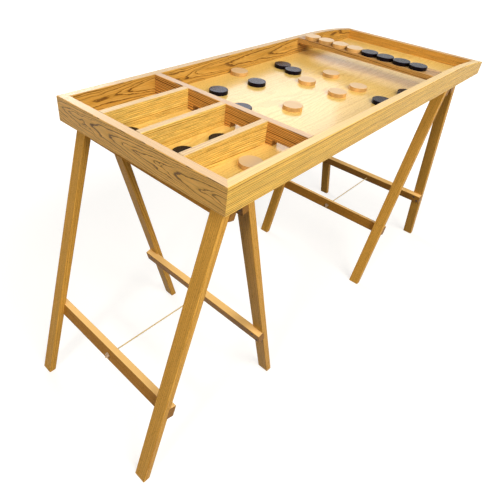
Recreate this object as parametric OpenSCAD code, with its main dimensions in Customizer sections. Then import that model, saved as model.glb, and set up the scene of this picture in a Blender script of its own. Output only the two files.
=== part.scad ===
// Dutch shuffleboard: a tray with four pockets, a floor, a gate board and a starting bar, lying loose on
// two folding trestles, with its set of wooden pucks.
// X runs from the pocket end to the player's end, Y across the tray and Z up.
// The origin is on the floor, under the tray's centre line and midway along the trestles' footprint.

/* [Tray] */
// Length of the tray
tray_length = 1300; // [1240:10:1600]
// Width of the tray
tray_width = 520; // [500:2:640]
// Height of the side rails and of the pocket end
rail_height = 60; // [54:1:80]
// Thickness of the rails and of both end boards
rail_thickness = 22; // [16:1:26]
// Height of the tray at the player's end
player_height = 39; // [32:1:48]
// Thickness of the plywood floor
floor_thickness = 8; // [6:0.5:10]
// How far the floor is let in under the rails
floor_rebate = 10; // [6:0.5:12]
// How far the falling end of a side rail starts below the straight part
curve_step = 0.02; // [0.02:0.01:0.1]
// Radius of the rounded edges
arris = 2; // [1:0.25:3]

/* [Pockets] */
// Length of the pockets
pocket_length = 250; // [240:2:300]
// Thickness of the dividers between the pockets
divider_thickness = 18; // [14:1:22]
// Thickness of the gate board
gate_board_thickness = 20; // [16:1:26]
// Width of each gate
gate_width = 68; // [66:1:76]
// Height of each gate
gate_height = 14; // [13:0.5:20]

/* [Starting bar] */
// Distance from the player's end to the bar
bar_setback = 320; // [280:5:380]
// Depth of the bar along the tray
bar_depth = 65; // [60:1:80]
// Thickness of the bar
bar_thickness = 16; // [12:0.5:22]

/* [Joinery] */
// Length of the hidden tongues that hold the cross boards
tongue_length = 5; // [3:0.5:8]
// Step between a board's face and its tongue
tongue_shoulder = 4; // [2:0.5:5]
// Clearance round a glued joint
glue_gap = 0.1; // [0.05:0.05:0.3]

/* [Pucks] */
// Diameter of a puck
puck_d = 52; // [49:0.5:53]
// Thickness of a puck
puck_thickness = 11; // [8:0.5:12]
// Radius of a puck's rounded edges
puck_edge = 1.2; // [0.5:0.1:2.5]
// Smallest gap between a puck and what it lies against
puck_gap = 0.5; // [0.3:0.1:1]
// Gap between the pucks in the row on the bar
row_gap = 1.6; // [1:0.1:2.5]
// How far the row stands from the bar's middle, towards the pockets
row_setback = 5.5; // [0:0.5:8]
// How far the row stands from the tray's centre line
row_offset = 9.5; // [0:0.5:14]

/* [Trestles] */
// Distance from the pocket end to the hinge line of its trestle
pocket_setback = 70; // [50:5:120]
// Distance from the player's end to the hinge line of its trestle
player_setback = 173; // [120:1:200]
// How far the pocket end's trestle is turned where it stands, in degrees
pocket_turn = 1.15; // [0:0.05:2]
// Height of the tray's underside above the floor
tray_level = 737; // [650:1:760]
// Clearance between the tray and the trestles that it lies on
rest_gap = 0.05; // [0.02:0.01:0.1]
// Angle of each trestle frame from upright
splay = 16.3; // [12:0.1:20]
// Width of a trestle
trestle_width = 481; // [440:1:490]
// Width of a leg
leg_width = 35; // [30:1:45]
// Thickness of a leg
leg_thickness = 19; // [15:1:24]
// Thickness of the bearers
bearer_thickness = 17; // [16:1:24]
// Height of the bearers under the tray
bearer_height = 47; // [38:1:58]
// Chamfer on the bearers' lower corners
bearer_chamfer = 5; // [2:0.5:8]
// Thickness of the stretchers, which are let into the legs
stretcher_thickness = 21; // [17:1:26]
// Height of the stretchers
stretcher_height = 34; // [28:1:45]
// Height of the stretchers' middle above the floor
stretcher_level = 215; // [160:1:300]
// Gap between the two frames of a trestle when it is folded
fold_gap = 3.6; // [3.4:0.1:5]

/* [Hinges] */
// Depth of the hinge line below the tray
hinge_drop = 4; // [3.8:0.1:6]
// Length of a hinge
hinge_length = 60; // [45:1:80]
// Distance from a bearer's end to its hinge
hinge_inset = 40; // [30:1:60]
// Number of knuckles on a hinge
knuckle_count = 5; // [3:2:7]
// Diameter of the knuckles
knuckle_d = 6.4; // [5.6:0.1:7]
// Gap between two knuckles
knuckle_gap = 0.3; // [0.2:0.1:0.6]
// Thickness of a leaf
leaf_thickness = 1.5; // [1:0.1:1.6]
// Height of a leaf
leaf_height = 25; // [20:1:32]
// Diameter of a hinge pin
pin_d = 3; // [2.4:0.1:3.4]
// Running clearance round a hinge pin
pin_clearance = 0.05; // [0.02:0.01:0.1]
// Diameter of the heads of a hinge pin
pin_head_d = 4.8; // [4:0.1:5.4]
// Thickness of the heads of a hinge pin
pin_head = 0.8; // [0.5:0.1:1.2]
// Clearance round a hinge in its seat
seat_clearance = 0.5; // [0.3:0.1:0.8]

/* [Screws] */
// Diameter of a frame screw
screw_d = 4; // [3:0.5:5]
// Length of a frame screw
screw_length = 31; // [26:1:32]
// Diameter of a frame screw's head
screw_head_d = 8; // [6:0.5:9]
// Spacing of the two screws of a joint, along and across a leg
screw_pitch = 15; // [10:1:18]
// Diameter of a leaf screw
leaf_screw_d = 2.5; // [2:0.1:3]
// Length of a leaf screw
leaf_screw_length = 14; // [10:1:16]
// Diameter of a leaf screw's head
leaf_screw_head_d = 5; // [4:0.1:5.5]
// Spacing of the screws along a leaf
leaf_screw_pitch = 20; // [14:1:24]
// Clearance of a screw in its hole
screw_clearance = 0.1; // [0.05:0.05:0.3]

/* [Spreader cords] */
// Diameter of the cord
cord_d = 4; // [3:0.5:5]
// Height of the cord above the floor
cord_level = 212; // [160:1:300]
// How far the cord at the pocket end lies from its trestle's middle, towards the near side
cord_offset = 5; // [0:1:12]
// Diameter of the cord's holes
cord_hole_d = 6; // [5.5:0.5:7]
// Diameter of the cord's knots
knot_d = 15; // [10:0.5:16]
// Diameter of the recess that takes a knot
knot_seat_d = 17; // [15:0.5:20]
// Wood left between the recess and the stretcher's inner face
knot_wall = 14; // [8:1:16]
// Clearance between a knot and its seat
knot_clearance = 0.15; // [0.1:0.05:0.3]

/* [Hidden] */
$fn = 64;
POCKETS = 4;
POCKET = 0;
PLAYER = 1;
LIGHT_COUNT = 11;
DARK_COUNT = 14;
ROW_EACH = 4;
PIECES_PER_TURN = 720;
EPS = 1;

inner_width = tray_width - 2 * rail_thickness;
pocket_width = (inner_width - (POCKETS - 1) * divider_thickness) / POCKETS;
pocket_pitch = pocket_width + divider_thickness;
gate_x = rail_thickness + pocket_length;
lane_x = gate_x + gate_board_thickness;
bar_x = tray_length - bar_setback - bar_depth;
bar_z = rail_height - bar_thickness;
curve_x = bar_x + bar_depth;
curve_top = rail_height - curve_step;
curve_drop = curve_top - player_height;
curve_r = (bar_setback * bar_setback + curve_drop * curve_drop) / (2 * curve_drop);
puck_r = puck_d / 2;
field_length = bar_x - lane_x;
field_reach = inner_width / 2 - puck_r - puck_gap;

hinge_z = tray_level - hinge_drop;
bearer_v = fold_gap / 2;
leg_v = bearer_v + bearer_thickness;
foot_reach = hinge_z * tan(splay) + (leg_v + leg_thickness) / cos(splay);
pocket_reach = foot_reach * cos(pocket_turn) + trestle_width / 2 * sin(pocket_turn);
tray_x = (pocket_reach - foot_reach + player_setback - pocket_setback - tray_length) / 2;
knuckle_r = knuckle_d / 2;
knuckle_pitch = hinge_length / knuckle_count;
hinge_y = trestle_width / 2 - hinge_inset - hinge_length / 2;
leg_y = (trestle_width - leg_width) / 2;
bearer_depth = (bearer_height - hinge_drop) / cos(splay);
bearer_screw_w = -bearer_depth / 2;
stretcher_w = -(hinge_z - stretcher_level + (bearer_v + stretcher_thickness / 2) * sin(splay)) / cos(splay);
leaf_v = bearer_v - leaf_thickness;
leaf_screw_w = -(knuckle_r + leaf_height) / 2;
cord_w = hinge_z - cord_level;
stretcher_inner_x = cord_w * tan(splay) + bearer_v / cos(splay);
knot_seat_x = stretcher_inner_x + knot_wall;
knot_sink = sqrt(pow(knot_d / 2, 2) - pow(cord_hole_d / 2, 2));
knot_x = knot_seat_x + knot_sink + knot_clearance;

// Pucks on the floor: their shares of the way from the gate board to the bar, and from the centre line to
// the far rail
LIGHT_FLOOR = [[0.465, 1], [0.639, 0.184], [0.831, 0.142], [0.621, -0.34], [0.769, -0.407], [0.318, -0.246]];
DARK_FLOOR = [[0.734, 0.818], [0.197, 0.671], [0.128, 0.104], [0.888, -0.96]];
// Two dark pucks that lie one puck nearer to the centre line than the first, and one in front of a gate
BESIDE_FIRST = [0.709, 0.42];
BEFORE_GATE = 0.695;
// Pucks in the pockets: pocket counted from the near side, distance from the end board, offset from the
// pocket's centre line
LIGHT_POCKETED = [[0, 144, 6.5]];
DARK_POCKETED = [[2, 40, 20], [1, 69.5, 0], [1, 173.5, -5]];

// The trestles: distance of the hinge line from the pocket end, then the turn of the trestle
TRESTLES = [[pocket_setback, -pocket_turn], [tray_length - player_setback, 0]];

// Each trestle's cord: how far it lies from the trestle's middle
CORD_Y = [-cord_offset, 0];
// Points along a spreader cord, from knot to knot, in units of the half span
CORD_ROUTE = [for (i = [-16 : 16]) i / 16];

function pocket_y(i) = (i - (POCKETS - 1) / 2) * pocket_pitch;
function floor_place(p) = [lane_x + p[0] * field_length, p[1] * field_reach, floor_thickness];
function pocket_place(p) = [rail_thickness + p[1], pocket_y(p[0]) + p[2], floor_thickness];
function row_place(i) = [bar_x + bar_depth / 2 - row_setback,
    row_offset + (ROW_EACH - 0.5 - i) * (puck_d + row_gap), rail_height];

LIGHT_PLACES = concat([for (p = LIGHT_FLOOR) floor_place(p)], [for (p = LIGHT_POCKETED) pocket_place(p)],
    [for (i = [0 : ROW_EACH - 1]) row_place(i)]);
BESIDE_Y = DARK_FLOOR[0][1] * field_reach - puck_d - puck_gap;
DARK_PLACES = concat([floor_place(DARK_FLOOR[0])],
    [for (x = BESIDE_FIRST) [lane_x + x * field_length, BESIDE_Y, floor_thickness]],
    [floor_place(DARK_FLOOR[1]), floor_place(DARK_FLOOR[2])],
    [[lane_x + BEFORE_GATE * field_length, pocket_y(0) + puck_gap, floor_thickness]],
    [floor_place(DARK_FLOOR[3])], [for (p = DARK_POCKETED) pocket_place(p)],
    [for (i = [0 : ROW_EACH - 1]) row_place(ROW_EACH + i)]);

TRAY_NODES = ["near_rail", "far_rail", "pocket_end", "player_end", "floor_panel", "gate_board",
    "divider_1", "divider_2", "divider_3", "starting_bar"];
FRAME_NODES = ["near_leg", "far_leg", "bearer", "stretcher"];
TRESTLE_NODES = [for (t = ["pocket", "player"], f = ["outer", "inner"], n = FRAME_NODES)
    str(t, "_", f, "_", n)];
FITTING_NODES = ["outer_hinge_leaves", "pocket_inner_hinge_leaves", "player_inner_hinge_leaves", "hinge_pins",
    "outer_screws", "pocket_inner_screws", "player_inner_screws", "pocket_cord", "player_cord"];
PUCK_NODES = concat([for (i = [1 : LIGHT_COUNT]) str("light_puck_", i)],
    [for (i = [1 : DARK_COUNT]) str("dark_puck_", i)]);

// Shared shapes

// A board's cross section with its two upper edges rounded
module board_section(thickness, height) {
    square([thickness, height - arris]);
    translate([arris, 0]) square([thickness - 2 * arris, height]);
    for (x = [arris, thickness - arris]) translate([x, height - arris]) circle(arris);
}

// A bar's cross section with all four edges rounded
module batten_section(thickness, width) {
    translate([arris, 0]) square([thickness - 2 * arris, width]);
    translate([0, arris]) square([thickness, width - 2 * arris]);
    for (x = [arris, thickness - arris], y = [arris, width - arris]) translate([x, y]) circle(arris);
}

// A box given by its low corner and its high corner
module block(low, high) {
    translate(low) cube(high - low);
}

// The tray's own frame: X from the pocket end, Y from the centre line, Z from the underside
module in_tray() {
    translate([tray_x, 0, tray_level]) children();
}

// The tongues at both ends of a board that crosses the tray, or with grow the grooves that take them
module cross_tongues(x, depth, low, high, grow = 0) {
    reach = inner_width / 2 + tongue_length + grow;
    block([x + tongue_shoulder - grow, -reach, low - grow],
        [x + depth - tongue_shoulder + grow, reach, high - tongue_shoulder + grow]);
}

module gate_board_tongues(grow = 0) {
    cross_tongues(gate_x, gate_board_thickness, floor_thickness, rail_height, grow);
}

module bar_tongues(grow = 0) {
    cross_tongues(bar_x, bar_depth, bar_z + tongue_shoulder, rail_height, grow);
}

module player_end_tongues(grow = 0) {
    cross_tongues(tray_length - rail_thickness, rail_thickness, floor_thickness + tongue_shoulder,
        player_height, grow);
}

// The tongues at both ends of a divider
module divider_tongues(i, grow = 0) {
    y = pocket_y(i) + pocket_pitch / 2;
    half = divider_thickness / 2 - tongue_shoulder + grow;
    reach = tongue_length + grow;
    block([rail_thickness - reach, y - half, floor_thickness - grow],
        [gate_x + reach, y + half, rail_height - tongue_shoulder + grow]);
}

// The floor panel, or with grow and below the space for it
module floor_space(grow = 0, below = 0) {
    x = rail_thickness - floor_rebate - grow;
    y = inner_width / 2 + floor_rebate + grow;
    block([x, -y, -below], [tray_length - x, y, floor_thickness]);
}

// A side rail on the far side, straight to the bar and then falling along one arc
module rail_blank() {
    translate([0, tray_width / 2 - rail_thickness, 0]) {
        rotate([90, 0, 90]) linear_extrude(curve_x) board_section(rail_thickness, rail_height);
        intersection() {
            translate([curve_x, 0, curve_top - curve_r]) rotate([90, 0, 0])
                rotate([0, 0, 90 - asin(bar_setback / curve_r) - EPS])
                rotate_extrude(angle = asin(bar_setback / curve_r) + 2 * EPS, $fn = PIECES_PER_TURN)
                translate([curve_r - curve_top - curve_drop, -rail_thickness])
                rotate(90) mirror([0, 1])
                board_section(rail_thickness, curve_top + curve_drop);
            block([curve_x - EPS, 0, 0], [tray_length, rail_thickness, rail_height]);
        }
    }
}

// What a mitre takes off: the corner at the given point, up to the diagonal
module mitre_waste(end_x, end_y) {
    y = tray_width / 2;
    translate([0, 0, -EPS]) linear_extrude(rail_height + 2 * EPS)
        polygon([[-EPS, y + EPS], [rail_thickness + EPS, y - rail_thickness - EPS], [end_x, end_y]]);
}

module side_rail() {
    difference() {
        rail_blank();
        mitre_waste(-EPS, inner_width / 2 - EPS);
        floor_space(glue_gap, EPS);
        gate_board_tongues(glue_gap);
        bar_tongues(glue_gap);
        player_end_tongues(glue_gap);
    }
}

// Tray

module near_rail() {
    color("#e8be6a") in_tray() mirror([0, 1, 0]) side_rail();
}

module far_rail() {
    color("#e8be6a") in_tray() side_rail();
}

module pocket_end() {
    color("#b08a50") in_tray() difference() {
        translate([0, tray_width / 2, 0]) rotate([90, 0, 0]) linear_extrude(tray_width)
            board_section(rail_thickness, rail_height);
        for (side = [0, 1]) mirror([0, side, 0]) mitre_waste(rail_thickness + EPS, tray_width / 2 + EPS);
        floor_space(glue_gap, EPS);
        for (i = [0 : POCKETS - 2]) divider_tongues(i, glue_gap);
    }
}

module player_end() {
    color("#c8924a") in_tray() difference() {
        union() {
            translate([tray_length - rail_thickness, inner_width / 2, 0]) rotate([90, 0, 0])
                linear_extrude(inner_width) board_section(rail_thickness, player_height);
            player_end_tongues();
        }
        floor_space(glue_gap, EPS);
    }
}

module floor_panel() {
    color("#fbebc0") in_tray() floor_space();
}

module gate_board() {
    color("#c98f45") in_tray() difference() {
        union() {
            translate([gate_x, inner_width / 2, floor_thickness]) rotate([90, 0, 0])
                linear_extrude(inner_width)
                board_section(gate_board_thickness, rail_height - floor_thickness);
            gate_board_tongues();
        }
        for (i = [0 : POCKETS - 1])
            block([gate_x - EPS, pocket_y(i) - gate_width / 2, floor_thickness - EPS],
                [lane_x + EPS, pocket_y(i) + gate_width / 2, floor_thickness + gate_height]);
        for (i = [0 : POCKETS - 2]) divider_tongues(i, glue_gap);
    }
}

module divider(i) {
    color("#e0b060") in_tray() {
        translate([rail_thickness, pocket_y(i) + (pocket_pitch - divider_thickness) / 2, floor_thickness])
            rotate([90, 0, 90]) linear_extrude(pocket_length)
            board_section(divider_thickness, rail_height - floor_thickness);
        divider_tongues(i);
    }
}

module starting_bar() {
    color("#d9ae78") in_tray() {
        translate([bar_x, inner_width / 2, bar_z]) rotate([90, 0, 0]) linear_extrude(inner_width)
            batten_section(bar_depth, bar_thickness);
        bar_tongues();
    }
}

// Pucks

module puck(place) {
    in_tray() translate(place) rotate_extrude() {
        square([puck_r - puck_edge, puck_thickness]);
        translate([0, puck_edge]) square([puck_r, puck_thickness - 2 * puck_edge]);
        for (z = [puck_edge, puck_thickness - puck_edge])
            translate([puck_r - puck_edge, z]) circle(puck_edge);
    }
}

module light_puck(i) {
    color("#f3d6b4") puck(LIGHT_PLACES[i - 1]);
}

module dark_puck(i) {
    color("#2a160c") puck(DARK_PLACES[i - 1]);
}

// Trestles

// A trestle's own space: its hinge line over Y, turned as the trestle stands
module in_trestle(t) {
    translate([tray_x + TRESTLES[t][0], 0, 0]) rotate([0, 0, TRESTLES[t][1]]) children();
}

// A frame's own space at its splay, in its trestle's: X out from the fold plane, Z up along the frame, origin
// at the hinge line. Side 1 leans towards the player's end and side -1 towards the pocket end.
module in_frame(side) {
    translate([0, 0, hinge_z]) rotate([0, 0, side > 0 ? 0 : 180]) rotate([0, -splay, 0]) children();
}

// What lies between the floor and the tray
module under_tray() {
    block([-2 * foot_reach, -trestle_width, 0], [2 * foot_reach, trestle_width, tray_level - rest_gap]);
}

// The hinges' barrels, with room to turn
module hinge_seats() {
    reach = hinge_length + 2 * (pin_head + seat_clearance);
    for (y = [-hinge_y, hinge_y])
        translate([0, y + reach / 2, hinge_z]) rotate([90, 0, 0])
            cylinder(h = reach, r = knuckle_r + seat_clearance);
}

// Places of the frame screws, seen square to the frame: across, then along the leg
function frame_screw_places() = [for (s = [-1, 1], w = [bearer_screw_w, stretcher_w], d = [-1, 1])
    [s * (leg_y + d * screw_pitch / 2), w - d * screw_pitch / 2]];
// Places of the leaf screws
function leaf_screw_places() = [for (s = [-1, 1], d = [-1, 0, 1])
    [s * hinge_y + d * leaf_screw_pitch, leaf_screw_w]];

// A stretcher, or with grow the housing in the legs that takes it
module stretcher_batten(grow = 0) {
    translate([bearer_v - grow, trestle_width / 2, stretcher_w - stretcher_height / 2 - grow])
        rotate([90, 0, 0]) linear_extrude(trestle_width)
        batten_section(stretcher_thickness + 2 * grow, stretcher_height + 2 * grow);
}

// A countersunk wood screw with its head at the origin, driven along X
module screw(d, head_d, length, grow = 0) {
    rotate([0, 90, 0]) {
        cylinder(h = length, d = d + 2 * grow);
        cylinder(h = (head_d - d) / 2, d1 = head_d + 2 * grow, d2 = d + 2 * grow);
    }
}

module frame_screws(grow = 0) {
    for (p = frame_screw_places()) translate([bearer_v, p[0], p[1]])
        screw(screw_d, screw_head_d, screw_length, grow);
}

module leaf_screws(grow = 0) {
    for (p = leaf_screw_places()) translate([leaf_v, p[0], p[1]])
        screw(leaf_screw_d, leaf_screw_head_d, leaf_screw_length, grow);
}

module leg(t, side, y) {
    color("#b5893f") in_trestle(t) difference() {
        intersection() {
            in_frame(side) translate([leg_v, y - leg_width / 2, -2 * hinge_z])
                linear_extrude(2 * tray_level) batten_section(leg_thickness, leg_width);
            under_tray();
        }
        in_frame(side) stretcher_batten(glue_gap);
        in_frame(side) frame_screws(screw_clearance);
    }
}

module bearer(t, side) {
    y = trestle_width / 2;
    color("#a67a35") in_trestle(t) difference() {
        intersection() {
            in_frame(side) translate([bearer_v, 0, 0]) rotate([90, 0, 90]) linear_extrude(bearer_thickness)
                polygon([[-y, bearer_depth], [y, bearer_depth], [y, bearer_chamfer - bearer_depth],
                    [y - bearer_chamfer, -bearer_depth], [bearer_chamfer - y, -bearer_depth],
                    [-y, bearer_chamfer - bearer_depth]]);
            under_tray();
        }
        hinge_seats();
        in_frame(side) frame_screws(screw_clearance);
        in_frame(side) leaf_screws(screw_clearance);
    }
}

module stretcher(t, side) {
    color("#f0bc78") in_trestle(t) difference() {
        in_frame(side) stretcher_batten();
        in_frame(side) frame_screws(screw_clearance);
        translate([0, CORD_Y[t], cord_level]) rotate([0, 90 * side, 0]) {
            cylinder(h = 2 * knot_x, d = cord_hole_d);
            translate([0, 0, knot_seat_x]) cylinder(h = knot_x, d = knot_seat_d);
        }
    }
}

// One frame's half of a hinge: its leaf, and every second knuckle counted from the given one
module hinge_leaf(first) {
    bore_r = pin_d / 2 + pin_clearance;
    difference() {
        union() {
            block([leaf_v, -hinge_length / 2, -leaf_height],
                [bearer_v, hinge_length / 2, -knuckle_r - knuckle_gap]);
            for (k = [first : 2 : knuckle_count - 1]) {
                low = k * knuckle_pitch - hinge_length / 2 + (k > 0 ? knuckle_gap / 2 : 0);
                high = (k + 1) * knuckle_pitch - hinge_length / 2
                    - (k < knuckle_count - 1 ? knuckle_gap / 2 : 0);
                block([leaf_v, low, -leaf_height], [bearer_v, high, 0]);
                translate([0, high, 0]) rotate([90, 0, 0]) cylinder(h = high - low, r = knuckle_r);
            }
        }
        translate([0, hinge_length, 0]) rotate([90, 0, 0]) cylinder(h = 2 * hinge_length, r = bore_r);
    }
}

module hinge_leaves(t, side, first) {
    color("#3a3a3c") in_trestle(t) in_frame(side) difference() {
        for (y = [-hinge_y, hinge_y]) translate([0, y, 0]) hinge_leaf(first);
        leaf_screws(screw_clearance);
    }
}

module hinge_pins(t) {
    color("#4a4a4c") in_trestle(t) for (y = [-hinge_y, hinge_y])
        translate([0, y, hinge_z]) rotate([90, 0, 0]) {
            cylinder(h = hinge_length + 2 * pin_head, d = pin_d, center = true);
            for (s = [-1, 1]) translate([0, 0, s * (hinge_length + pin_head + 2 * pin_clearance) / 2])
                cylinder(h = pin_head, d = pin_head_d, center = true);
        }
}

module wood_screws(t, side) {
    color("#38383a") in_trestle(t) in_frame(side) {
        frame_screws();
        leaf_screws();
    }
}

// Spreader cord

// Points of a tube with eight sides along the points of a route that runs along X
function ring(p, sides) = [for (k = [0 : sides - 1])
    [p, cord_d / 2 * cos(360 * k / sides), cord_d / 2 * sin(360 * k / sides)]];

module cord_tube(route, sides = 8) {
    last = len(route) - 1;
    walls = [for (i = [0 : last - 1], k = [0 : sides - 1])
        [i * sides + k, (i + 1) * sides + k, (i + 1) * sides + (k + 1) % sides, i * sides + (k + 1) % sides]];
    start = [for (k = [0 : sides - 1]) k];
    end = [for (k = [sides - 1 : -1 : 0]) last * sides + k];
    polyhedron([for (p = route) each ring(p, sides)], concat(walls, [start, end]));
}

module spreader_cord(t) {
    color("#e6cf9a") in_trestle(t) translate([0, CORD_Y[t], cord_level]) {
        cord_tube([for (p = CORD_ROUTE) p * knot_x]);
        for (s = [-1, 1]) translate([s * knot_x, 0, 0]) sphere(d = knot_d, $fn = 24);
    }
}

near_rail();
far_rail();
pocket_end();
player_end();
floor_panel();
gate_board();
divider(0);  // divider_1
divider(1);  // divider_2
divider(2);  // divider_3
starting_bar();
leg(POCKET, -1, leg_y);  // pocket_outer_near_leg
leg(POCKET, -1, -leg_y);  // pocket_outer_far_leg
bearer(POCKET, -1);  // pocket_outer_bearer
stretcher(POCKET, -1);  // pocket_outer_stretcher
leg(POCKET, 1, -leg_y);  // pocket_inner_near_leg
leg(POCKET, 1, leg_y);  // pocket_inner_far_leg
bearer(POCKET, 1);  // pocket_inner_bearer
stretcher(POCKET, 1);  // pocket_inner_stretcher
leg(PLAYER, 1, -leg_y);  // player_outer_near_leg
leg(PLAYER, 1, leg_y);  // player_outer_far_leg
bearer(PLAYER, 1);  // player_outer_bearer
stretcher(PLAYER, 1);  // player_outer_stretcher
leg(PLAYER, -1, leg_y);  // player_inner_near_leg
leg(PLAYER, -1, -leg_y);  // player_inner_far_leg
bearer(PLAYER, -1);  // player_inner_bearer
stretcher(PLAYER, -1);  // player_inner_stretcher
union() {  // outer_hinge_leaves
    hinge_leaves(POCKET, -1, 0);
    hinge_leaves(PLAYER, 1, 0);
}
hinge_leaves(POCKET, 1, 1);  // pocket_inner_hinge_leaves
hinge_leaves(PLAYER, -1, 1);  // player_inner_hinge_leaves
union() {
    hinge_pins(POCKET);
    hinge_pins(PLAYER);
}
union() {  // outer_screws
    wood_screws(POCKET, -1);
    wood_screws(PLAYER, 1);
}
wood_screws(POCKET, 1);  // pocket_inner_screws
wood_screws(PLAYER, -1);  // player_inner_screws
spreader_cord(POCKET);  // pocket_cord
spreader_cord(PLAYER);  // player_cord
for (i = [1 : LIGHT_COUNT]) light_puck(i);
for (i = [1 : DARK_COUNT]) dark_puck(i);
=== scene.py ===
"""Dutch shuffleboard: the finishes, cords, knots, screws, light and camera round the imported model.

Lengths are in metres in the model's own frame: X runs from the pocket end to the player's end, Y across the
tray and Z up from the floor. The patterns in the wood are laid out in millimetres.
"""

import logging
import math
import random
from dataclasses import dataclass
from enum import Enum

import bmesh
import bpy
from mathutils import Euler, Matrix, Vector


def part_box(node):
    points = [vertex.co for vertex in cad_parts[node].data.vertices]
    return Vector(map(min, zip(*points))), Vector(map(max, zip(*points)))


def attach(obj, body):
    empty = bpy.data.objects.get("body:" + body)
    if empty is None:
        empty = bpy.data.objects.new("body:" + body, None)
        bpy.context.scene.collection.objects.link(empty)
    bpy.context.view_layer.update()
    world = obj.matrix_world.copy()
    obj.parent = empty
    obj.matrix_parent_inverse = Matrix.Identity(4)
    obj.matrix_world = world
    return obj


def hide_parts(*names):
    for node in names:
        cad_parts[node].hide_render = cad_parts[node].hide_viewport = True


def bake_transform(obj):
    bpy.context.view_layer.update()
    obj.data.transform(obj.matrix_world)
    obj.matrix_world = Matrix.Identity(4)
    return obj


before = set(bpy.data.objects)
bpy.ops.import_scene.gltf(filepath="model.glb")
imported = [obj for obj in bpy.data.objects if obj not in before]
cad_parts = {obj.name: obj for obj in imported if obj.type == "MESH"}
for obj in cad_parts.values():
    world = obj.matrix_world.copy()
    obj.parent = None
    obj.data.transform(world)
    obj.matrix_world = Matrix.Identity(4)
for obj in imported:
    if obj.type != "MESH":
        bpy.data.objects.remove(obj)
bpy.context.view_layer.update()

# Short names for the types that most functions take or give
Material, Tree, Socket, Mesh = bpy.types.Material, bpy.types.NodeTree, bpy.types.NodeSocket, bmesh.types.BMesh

MM = 0.001
# Lean of the trestles' frames, in degrees
SPLAY = 16.3

log = logging.getLogger("shuffleboard")


def linear(colour: str) -> tuple[float, float, float, float]:
    """Turns an sRGB hex colour into the linear colour that a shader takes.

    Args:
        colour: the colour as "#rrggbb".

    Returns:
        Red, green, blue and an alpha of one.
    """
    shares = [int(colour[i:i + 2], 16) / 255 for i in (1, 3, 5)]
    red, green, blue = (s / 12.92 if s <= 0.04045 else ((s + 0.055) / 1.055) ** 2.4 for s in shares)
    return red, green, blue, 1.0


def add(tree: Tree, kind: str, inputs: dict | None = None, stops: list | None = None,
        **settings: object) -> bpy.types.Node:
    """Adds a node with its settings, its inputs and, on a ramp, its stops.

    Args:
        tree: the node tree that takes the node.
        kind: the node's type.
        inputs: a value or another node's output for each input, by name or number.
        stops: a ramp's places and hex colours.
        settings: the node's own settings, by name.

    Returns:
        The new node.
    """
    node = tree.nodes.new(kind)
    for name, value in settings.items():
        setattr(node, name, value)
    for place, value in (inputs or {}).items():
        if isinstance(value, Socket):
            tree.links.new(value, node.inputs[place])
        else:
            node.inputs[place].default_value = value
    for i, (place, colour) in enumerate(stops or []):
        elements = node.color_ramp.elements
        stop = elements[i] if i < len(elements) else elements.new(place)
        stop.position = place
        stop.color = linear(colour)
    return node


def new_material(name: str) -> tuple[Material, Tree]:
    """Makes a material with an empty node tree.

    Args:
        name: the material's name.

    Returns:
        The material and its tree.
    """
    material = bpy.data.materials.new(name)
    material.use_nodes = True
    material.node_tree.nodes.clear()
    return material, material.node_tree


def dress(piece: bpy.types.Object, material: Material) -> None:
    """Gives a piece one material all over.

    Args:
        piece: the piece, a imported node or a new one.
        material: its finish.
    """
    piece.data.materials.clear()
    piece.data.materials.append(material)
    log.info("dressed %s in %s", piece.name, material.name)


def middle(node: str) -> Vector:
    """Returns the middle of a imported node's box."""
    low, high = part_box(node)
    return (low + high) / 2


def new_piece(name: str, bm: Mesh, material: Material, crease: float = 30.0) -> bpy.types.Object:
    """Makes an object of a finished mesh, smooth but for its sharp edges.

    Args:
        name: the piece's name.
        bm: its mesh, which is freed.
        material: its finish.
        crease: the angle in degrees from which an edge stays sharp.

    Returns:
        The new piece, at the origin.
    """
    bmesh.ops.recalc_face_normals(bm, faces=bm.faces)
    for face in bm.faces:
        face.smooth = True
    mesh = bpy.data.meshes.new(name)
    bm.to_mesh(mesh)
    bm.free()
    mesh.set_sharp_from_angle(angle=math.radians(crease))
    piece = bpy.data.objects.new(name, mesh)
    bpy.context.scene.collection.objects.link(piece)
    dress(piece, material)
    return piece


class Run(Enum):
    """The way the grain runs in a piece, as the turns in degrees that lay it along X."""

    ALONG = (0.0, 0.0, 0.0)
    ACROSS = (0.0, 0.0, -90.0)
    DOWN_TO_PLAYER = (0.0, SPLAY - 90.0, 0.0)
    DOWN_TO_POCKETS = (0.0, 90.0 - SPLAY, 0.0)


@dataclass(frozen=True)
class Cut:
    """How a piece was sawn out of its log: this decides the figure on each of its faces.

    Attributes:
        run: the way the grain runs.
        heart: how far the log's heart lies from the piece's middle, through the piece and up it, in
            millimetres.
        lean: how far the heart leans up and sideways in the piece, in degrees.
        seed: how far along the log the piece was cut, in millimetres.
        turn: how far the piece is turned where it lies, in degrees.
    """

    run: Run
    heart: tuple[float, float]
    lean: tuple[float, float] = (0.0, 0.0)
    seed: float = 0.0
    turn: float = 0.0

    def lay(self) -> Matrix:
        """Returns the turn that lays the piece's grain along X, with the heart's lean."""
        lean = Euler((0.0, math.radians(self.lean[0]), math.radians(self.lean[1]))).to_matrix()
        run = Euler([math.radians(a) for a in self.run.value]).to_matrix()
        return lean @ run @ Matrix.Rotation(math.radians(-self.turn), 3, "Z")

    def place(self, centre: Vector) -> Vector:
        """Returns where the piece lies in the log.

        Args:
            centre: the piece's middle, in metres.

        Returns:
            The shift in millimetres that follows the turn.
        """
        return Vector((self.seed, -self.heart[0], -self.heart[1])) - self.lay() @ (centre / MM)


# Share of a ring over which its early wood fades, and the share at which its late wood is densest
EARLY_FADE, LATE_AT = 0.14, 0.8
# Share of a ring past which only its late wood's few pores show, and the share before which all do
EARLY_SPAN = {"From Min": 0.45, "From Max": 0.05}
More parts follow.
